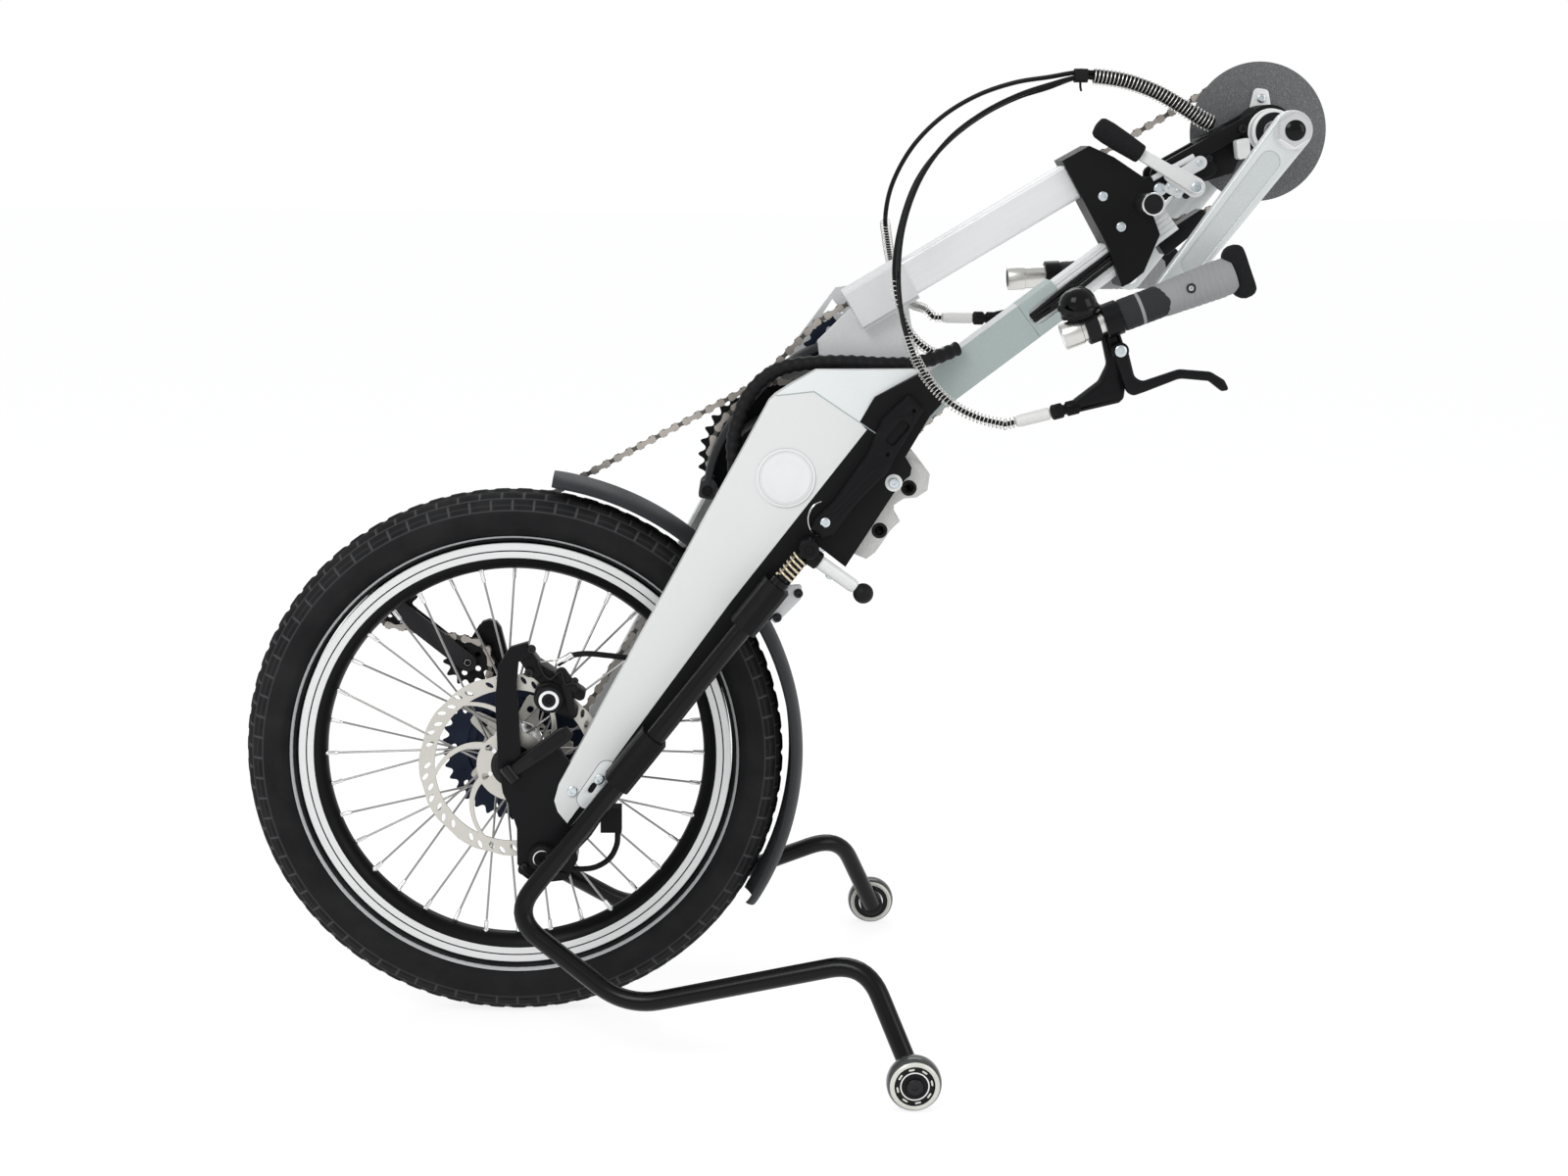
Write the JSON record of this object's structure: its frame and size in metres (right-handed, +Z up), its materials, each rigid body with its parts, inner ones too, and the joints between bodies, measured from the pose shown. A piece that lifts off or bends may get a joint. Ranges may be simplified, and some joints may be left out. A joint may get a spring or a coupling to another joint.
{
  "type": "handcycle",
  "caption": "Clip-on handcycle front: driven spoked wheel between two legs, boom with hand crank and handles, docking beam and a stand on castors.",
  "frame": {"origin": "on the floor under the middle of the whole object", "axes": "+X towards the rider, +Y to the right (far) side, +Z up"},
  "size_m": [1.0304, 0.5566, 0.9249],
  "materials": {
    "silver": "satin",
    "cast_grey": "cast, matte",
    "steel": "brushed",
    "chrome": "polished",
    "black": "satin",
    "black_steel": "satin",
    "black_plastic": "matte",
    "gloss_black": "gloss",
    "tyre": "matte",
    "rim": "anodised, satin",
    "grip": "matte",
    "dark_plastic": "matte",
    "guard_grey": "speckled, matte",
    "cogs": "satin",
    "chain": "oiled",
    "castor": "translucent",
    "brass": "satin"
  },
  "bodies": {
    "frame": {"leg_cover_near": "silver", "leg_cover_far": "silver", "leg_rail_near": "black", "leg_rail_far": "black", "dropout_near": "black", "dropout_far": "black", "skewer": "steel", "caliper_upper": "black", "caliper_lower": "black", "front_frame": "cast_grey", "upper_tube": "silver", "lower_tube": "silver", "tube_clamp": "black", "mudguard": "guard_grey", "drive_unit": "black_plastic", "chain_guard": "dark_plastic", "derailleur_body": "black_plastic", "docking_beam": "cast_grey", "conduit": "dark_plastic", "lock_spring": "brass", "upper_chain": "chain", "lower_chain": "chain"},
    "wheel": {"tyre": "tyre", "rim": "rim", "wheel_hub": "chrome", "rotor": "steel", "cassette": "cogs"},
    "quick_release": {"quick_release_lever": "black_steel"},
    "stand_near": {"stand_tube_near": "black_steel"},
    "stand_far": {"stand_tube_far": "black_steel"},
    "castor_near": {"castor_near": "castor"},
    "castor_far": {"castor_far": "castor"},
    "stand_lock": {"stand_lock": "black_steel"},
    "docking_lever": {"docking_lever": "black"},
    "idler": {"idler": "black_steel"},
    "jackshaft": {"jackshaft": "black_steel"},
    "cage": {"derailleur_cage": "black_steel"},
    "guide_pulley": {"guide_pulley": "black_plastic"},
    "tension_pulley": {"tension_pulley": "black_plastic"},
    "head": {"head_arm": "black", "bearing_shell": "silver", "guard_disc": "guard_grey", "handle_cords": "black_plastic", "bundle_spring": "steel", "near_spring": "steel", "far_spring": "steel"},
    "toggle": {"toggle_lever": "chrome"},
    "crankset": {"crank_axle": "chrome", "crank_arm_near": "silver", "crank_arm_far": "silver", "chainring": "black_steel"},
    "handle_near": {"handle_bar_near": "silver", "grip_near": "grip", "lever_clamp_near": "black_plastic", "bell": "gloss_black"},
    "handle_far": {"handle_bar_far": "silver", "grip_far": "grip", "lever_clamp_far": "black_plastic"},
    "brake_lever_near": {"brake_lever_near": "black_plastic"},
    "brake_lever_far": {"brake_lever_far": "black_plastic"}
  },
  "joints": [
    {"name": "wheel_spin", "type": "hinge", "parent": "frame", "child": "wheel", "pos_m": [-0.25598, 0, 0.25925], "axis": [0, 1, 0], "continuous": true},
    {"name": "quick_release_swing", "type": "hinge", "parent": "frame", "child": "quick_release", "pos_m": [-0.25598, -0.0821, 0.25925], "axis": [0.6, 0, -0.8], "range_deg": [0, 150]},
    {"name": "stand_near_slide", "type": "slide", "parent": "frame", "child": "stand_near", "axis": [0.6169, 0, 0.7871], "range_m": [-0.05, 0], "deforming": ["lock_spring"]},
    {"name": "stand_far_slide", "type": "slide", "parent": "frame", "child": "stand_far", "axis": [0.6169, 0, 0.7871], "range_m": [-0.05, 0]},
    {"name": "castor_near_spin", "type": "hinge", "parent": "stand_near", "child": "castor_near", "pos_m": [0.11202, -0.2655, 0.02472], "axis": [0, 1, 0], "continuous": true},
    {"name": "castor_far_spin", "type": "hinge", "parent": "stand_far", "child": "castor_far", "pos_m": [0.11202, 0.2655, 0.02472], "axis": [0, 1, 0], "continuous": true},
    {"name": "stand_lock_turn", "type": "hinge", "parent": "frame", "child": "stand_lock", "pos_m": [0.02102, -0.106, 0.47875], "axis": [0, -1, 0], "range_deg": [0, 35], "deforming": ["lock_spring"]},
    {"name": "docking_release", "type": "hinge", "parent": "frame", "child": "docking_lever", "pos_m": [0.03752, -0.0913, 0.49875], "axis": [0, 1, 0], "range_deg": [0, 60]},
    {"name": "idler_spin", "type": "hinge", "parent": "frame", "child": "idler", "pos_m": [0.04952, 0.034, 0.65475], "axis": [0, 1, 0], "continuous": true},
    {"name": "jackshaft_spin", "type": "hinge", "parent": "frame", "child": "jackshaft", "pos_m": [-0.00098, 0.04, 0.54025], "axis": [0, 1, 0], "continuous": true},
    {"name": "cage_swing", "type": "hinge", "parent": "frame", "child": "cage", "pos_m": [-0.30598, 0.045, 0.33975], "axis": [0, 1, 0], "range_deg": [0, 25], "stiffness_Nm_per_rad": 0.6, "springref_deg": -22.92, "deforming": ["lower_chain"]},
    {"name": "guide_pulley_spin", "type": "hinge", "parent": "frame", "child": "guide_pulley", "pos_m": [-0.30598, 0.045, 0.33975], "axis": [0, 1, 0], "continuous": true},
    {"name": "tension_pulley_spin", "type": "hinge", "parent": "cage", "child": "tension_pulley", "pos_m": [-0.37798, 0.045, 0.39775], "axis": [0, 1, 0], "continuous": true},
    {"name": "head_tilt", "type": "hinge", "parent": "frame", "child": "head", "pos_m": [0.34802, 0, 0.80575], "axis": [0, -1, 0], "range_deg": [0, 30], "deforming": ["handle_cords", "bundle_spring", "near_spring", "far_spring", "upper_chain"]},
    {"name": "toggle_open", "type": "hinge", "parent": "head", "child": "toggle", "pos_m": [0.38002, -0.036, 0.80775], "axis": [0, 1, 0], "range_deg": [0, 70]},
    {"name": "crank_spin", "type": "hinge", "parent": "head", "child": "crankset", "pos_m": [0.45002, 0, 0.85975], "axis": [0, 1, 0], "continuous": true, "deforming": ["handle_cords", "bundle_spring", "near_spring", "far_spring"]},
    {"name": "handle_near_spin", "type": "hinge", "parent": "crankset", "child": "handle_near", "pos_m": [0.34542, -0.165, 0.71815], "axis": [0, 1, 0], "continuous": true, "deforming": ["handle_cords", "bundle_spring", "near_spring", "far_spring"]},
    {"name": "handle_far_spin", "type": "hinge", "parent": "crankset", "child": "handle_far", "pos_m": [0.34542, 0.165, 0.71815], "axis": [0, 1, 0], "continuous": true, "deforming": ["handle_cords", "bundle_spring", "near_spring", "far_spring"]},
    {"name": "brake_near_pull", "type": "hinge", "parent": "handle_near", "child": "brake_lever_near", "pos_m": [0.29049, -0.1675, 0.66675], "axis": [0, -1, 0], "range_deg": [0, 20], "stiffness_Nm_per_rad": 0.6, "springref_deg": -17.19},
    {"name": "brake_far_pull", "type": "hinge", "parent": "handle_far", "child": "brake_lever_far", "pos_m": [0.27656, 0.18962, 0.70033], "axis": [0.0429, -0.5736, -0.818], "range_deg": [0, 20], "stiffness_Nm_per_rad": 0.6, "springref_deg": -17.19}
  ],
  "couplings": [
    {"joint": "stand_far_slide", "follows": "stand_near_slide", "ratio": 1},
    {"joint": "idler_spin", "follows": "crank_spin", "ratio": 2.1538},
    {"joint": "jackshaft_spin", "follows": "crank_spin", "ratio": 0.82353},
    {"joint": "guide_pulley_spin", "follows": "crank_spin", "ratio": -2.8449},
    {"joint": "tension_pulley_spin", "follows": "crank_spin", "ratio": 2.8449}
  ]
}
